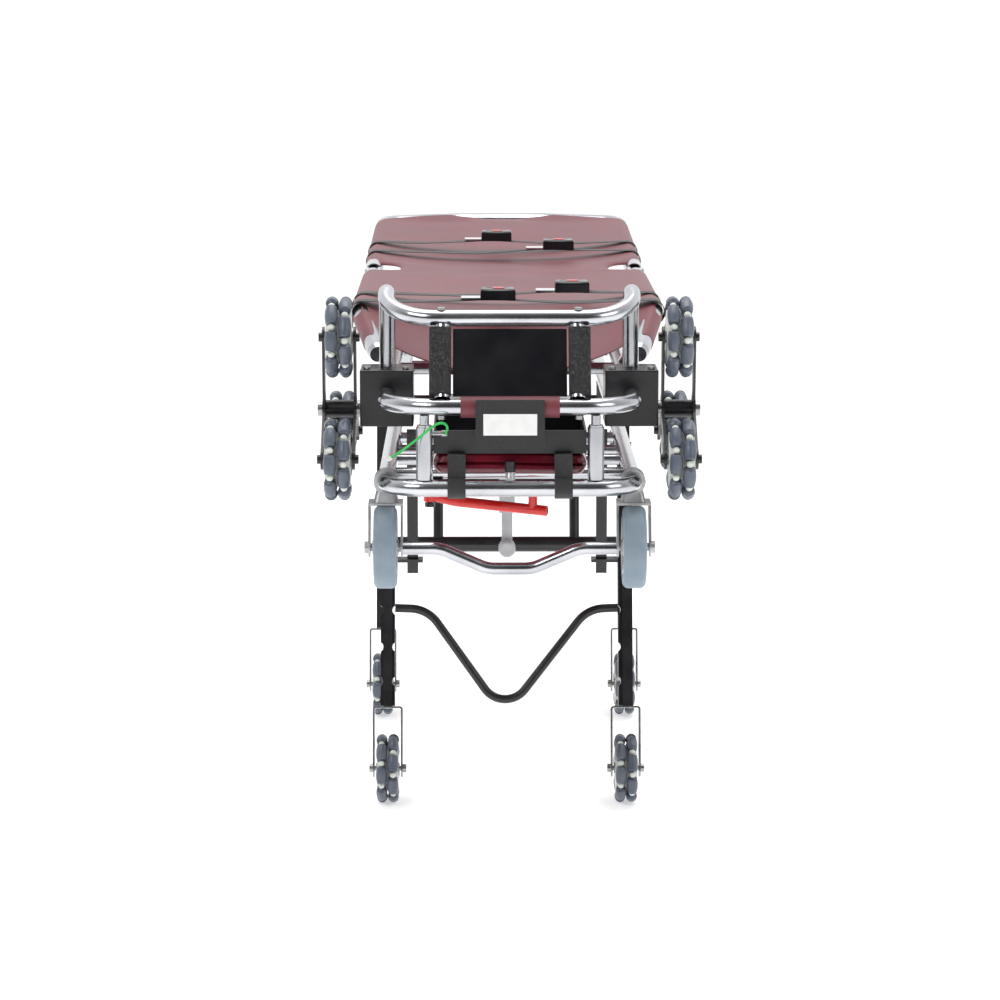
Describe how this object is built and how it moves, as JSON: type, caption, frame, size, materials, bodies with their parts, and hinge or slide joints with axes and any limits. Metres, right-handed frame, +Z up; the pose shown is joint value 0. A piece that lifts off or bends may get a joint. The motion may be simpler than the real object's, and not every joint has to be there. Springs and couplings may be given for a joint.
{
  "type": "stretcher trolley",
  "caption": "Folding ambulance trolley with a lift-off stretcher, raising backrest, tri-star stair wheels, loading wheels and two folding leg frames on roller-rim wheels.",
  "frame": {"origin": "centre of the object's footprint box, on the floor", "axes": "+Z up, +Y from the loading end towards the head end, +X to the right seen from the loading end"},
  "size_m": [0.59, 1.9378, 0.9117],
  "materials": {
    "polished_aluminium": "polished tube with fine draw marks",
    "cast_grey": "sand-cast, lightly blasted",
    "black_powder_coat": "satin powder coat",
    "zinc_steel": "bright zinc plate",
    "speckled_foam": "closed-cell foam with pale speckles",
    "gloss_black_plastic": "smooth moulded",
    "maroon_canvas": "coated cloth, soft sheen",
    "maroon_vinyl": "glossy vinyl",
    "black_webbing": "ribbed webbing",
    "red_plastic": "gloss",
    "red_paint": "gloss paint",
    "pale_plastic": "matt",
    "green_cord": "braided cord",
    "roller_polyurethane": "blue-grey rollers on cream hubs",
    "grey_tyre": "smooth light grey-blue",
    "pale_rim": "moulded"
  },
  "bodies": {
    "base": {"base_nose": "polished_aluminium", "base_rails": "polished_aluminium", "end_castings": "cast_grey", "tie_bar": "polished_aluminium", "dock_sleeves": "polished_aluminium", "cross_tray": "black_powder_coat", "folded_pad": "maroon_vinyl", "pad_straps": "black_webbing", "lanyard": "green_cord", "under_brackets": "black_powder_coat"},
    "stretcher": {"top_hoop": "polished_aluminium", "lower_hoop": "polished_aluminium", "clamp_blocks": "black_powder_coat", "frame_bolts": "zinc_steel", "handle_tubes": "polished_aluminium", "foam_grips": "speckled_foam", "end_panel": "gloss_black_plastic", "hoop_wrap": "maroon_canvas", "foot_poles": "polished_aluminium", "under_frame": "polished_aluminium", "seat_canvas": "maroon_canvas", "near_straps": "black_webbing", "near_buckles": "gloss_black_plastic", "dock_rods": "polished_aluminium", "star_axles": "zinc_steel"},
    "backrest": {"back_poles": "polished_aluminium", "head_loop": "polished_aluminium", "back_canvas": "maroon_canvas", "far_straps": "black_webbing", "far_buckles": "gloss_black_plastic"},
    "near_leg_frame": {"near_legs": "black_powder_coat", "near_cross_frame": "black_powder_coat", "v_brace": "black_powder_coat", "near_forks": "zinc_steel"},
    "far_leg_frame": {"far_legs": "black_powder_coat", "far_forks": "zinc_steel"},
    "lock_pin": {"lock_pin": "zinc_steel"},
    "red_lever": {"red_lever": "red_paint"},
    "spring_knob": {"spring_knob": "gloss_black_plastic"},
    "drop_handle": {"drop_handle": "pale_plastic"},
    "near_button_1": {"near_button_1": "red_plastic"},
    "near_button_2": {"near_button_2": "red_plastic"},
    "far_button_1": {"far_button_1": "red_plastic"},
    "far_button_2": {"far_button_2": "red_plastic"},
    "star_left": {"star_left": "black_powder_coat"},
    "star_wheel_left_1": {"star_wheel_left_1": "roller_polyurethane"},
    "star_wheel_left_2": {"star_wheel_left_2": "roller_polyurethane"},
    "star_wheel_left_3": {"star_wheel_left_3": "roller_polyurethane"},
    "end_wheel_left": {"end_tyre_left": "grey_tyre", "end_rim_left": "pale_rim"},
    "star_right": {"star_right": "black_powder_coat"},
    "star_wheel_right_1": {"star_wheel_right_1": "roller_polyurethane"},
    "star_wheel_right_2": {"star_wheel_right_2": "roller_polyurethane"},
    "star_wheel_right_3": {"star_wheel_right_3": "roller_polyurethane"},
    "end_wheel_right": {"end_tyre_right": "grey_tyre", "end_rim_right": "pale_rim"},
    "floor_wheel_near_left": {"floor_wheel_near_left": "roller_polyurethane"},
    "floor_wheel_near_right": {"floor_wheel_near_right": "roller_polyurethane"},
    "floor_wheel_far_left": {"floor_wheel_far_left": "roller_polyurethane"},
    "floor_wheel_far_right": {"floor_wheel_far_right": "roller_polyurethane"}
  },
  "joints": [
    {"name": "stretcher_lift", "type": "slide", "parent": "base", "child": "stretcher", "axis": [0, 0, 1], "range_m": [0, 0.12]},
    {"name": "back_raise", "type": "hinge", "parent": "stretcher", "child": "backrest", "pos_m": [0, 0.137, 0.838], "axis": [1, 0, 0], "range_deg": [0, 75]},
    {"name": "near_leg_fold", "type": "hinge", "parent": "base", "child": "near_leg_frame", "pos_m": [0, -0.27, 0.575], "axis": [1, 0, 0], "range_deg": [0, 100]},
    {"name": "far_leg_fold", "type": "hinge", "parent": "base", "child": "far_leg_frame", "pos_m": [0, 0.39, 0.575], "axis": [1, 0, 0], "range_deg": [0, 100]},
    {"name": "lock_pin_slide", "type": "slide", "parent": "base", "child": "lock_pin", "axis": [1, 0, 0], "range_m": [-0.012, 0]},
    {"name": "red_lever_swing", "type": "hinge", "parent": "base", "child": "red_lever", "pos_m": [-0.122, -0.8, 0.588], "axis": [0, 0, 1], "range_deg": [0, 25]},
    {"name": "spring_knob_press", "type": "slide", "parent": "base", "child": "spring_knob", "axis": [0, 0, -1], "range_m": [0, 0.004], "stiffness_N_per_m": 900},
    {"name": "drop_handle_swing", "type": "hinge", "parent": "base", "child": "drop_handle", "pos_m": [0, -0.42, 0.622], "axis": [1, 0, 0], "range_deg": [-30, 15]},
    {"name": "near_button_1_press", "type": "slide", "parent": "stretcher", "child": "near_button_1", "axis": [0, 0, -1], "range_m": [0, 0.0025], "stiffness_N_per_m": 900},
    {"name": "near_button_2_press", "type": "slide", "parent": "stretcher", "child": "near_button_2", "axis": [0, 0, -1], "range_m": [0, 0.0025], "stiffness_N_per_m": 900},
    {"name": "far_button_1_press", "type": "slide", "parent": "backrest", "child": "far_button_1", "axis": [0, 0, -1], "range_m": [0, 0.0025], "stiffness_N_per_m": 900},
    {"name": "far_button_2_press", "type": "slide", "parent": "backrest", "child": "far_button_2", "axis": [0, 0, -1], "range_m": [0, 0.0025], "stiffness_N_per_m": 900},
    {"name": "star_left_spin", "type": "hinge", "parent": "stretcher", "child": "star_left", "pos_m": [-0.261, -0.765, 0.717], "axis": [1, 0, 0], "continuous": true},
    {"name": "star_wheel_left_1_spin", "type": "hinge", "parent": "star_left", "child": "star_wheel_left_1", "pos_m": [-0.261, -0.77485, 0.82957], "axis": [1, 0, 0], "continuous": true},
    {"name": "star_wheel_left_2_spin", "type": "hinge", "parent": "star_left", "child": "star_wheel_left_2", "pos_m": [-0.261, -0.85756, 0.65219], "axis": [1, 0, 0], "continuous": true},
    {"name": "star_wheel_left_3_spin", "type": "hinge", "parent": "star_left", "child": "star_wheel_left_3", "pos_m": [-0.261, -0.66259, 0.66924], "axis": [1, 0, 0], "continuous": true},
    {"name": "end_wheel_left_spin", "type": "hinge", "parent": "base", "child": "end_wheel_left", "pos_m": [-0.188, -0.9, 0.524], "axis": [1, 0, 0], "continuous": true},
    {"name": "star_right_spin", "type": "hinge", "parent": "stretcher", "child": "star_right", "pos_m": [0.261, -0.765, 0.717], "axis": [1, 0, 0], "continuous": true},
    {"name": "star_wheel_right_1_spin", "type": "hinge", "parent": "star_right", "child": "star_wheel_right_1", "pos_m": [0.261, -0.77485, 0.82957], "axis": [1, 0, 0], "continuous": true},
    {"name": "star_wheel_right_2_spin", "type": "hinge", "parent": "star_right", "child": "star_wheel_right_2", "pos_m": [0.261, -0.85756, 0.65219], "axis": [1, 0, 0], "continuous": true},
    {"name": "star_wheel_right_3_spin", "type": "hinge", "parent": "star_right", "child": "star_wheel_right_3", "pos_m": [0.261, -0.66259, 0.66924], "axis": [1, 0, 0], "continuous": true},
    {"name": "end_wheel_right_spin", "type": "hinge", "parent": "base", "child": "end_wheel_right", "pos_m": [0.188, -0.9, 0.524], "axis": [1, 0, 0], "continuous": true},
    {"name": "floor_wheel_near_left_spin", "type": "hinge", "parent": "near_leg_frame", "child": "floor_wheel_near_left", "pos_m": [-0.2, -0.39999, 0.05748], "axis": [1, 0, 0], "continuous": true},
    {"name": "floor_wheel_near_right_spin", "type": "hinge", "parent": "near_leg_frame", "child": "floor_wheel_near_right", "pos_m": [0.2, -0.39999, 0.05748], "axis": [1, 0, 0], "continuous": true},
    {"name": "floor_wheel_far_left_spin", "type": "hinge", "parent": "far_leg_frame", "child": "floor_wheel_far_left", "pos_m": [-0.226, 0.26001, 0.05748], "axis": [1, 0, 0], "continuous": true},
    {"name": "floor_wheel_far_right_spin", "type": "hinge", "parent": "far_leg_frame", "child": "floor_wheel_far_right", "pos_m": [0.226, 0.26001, 0.05748], "axis": [1, 0, 0], "continuous": true}
  ]
}
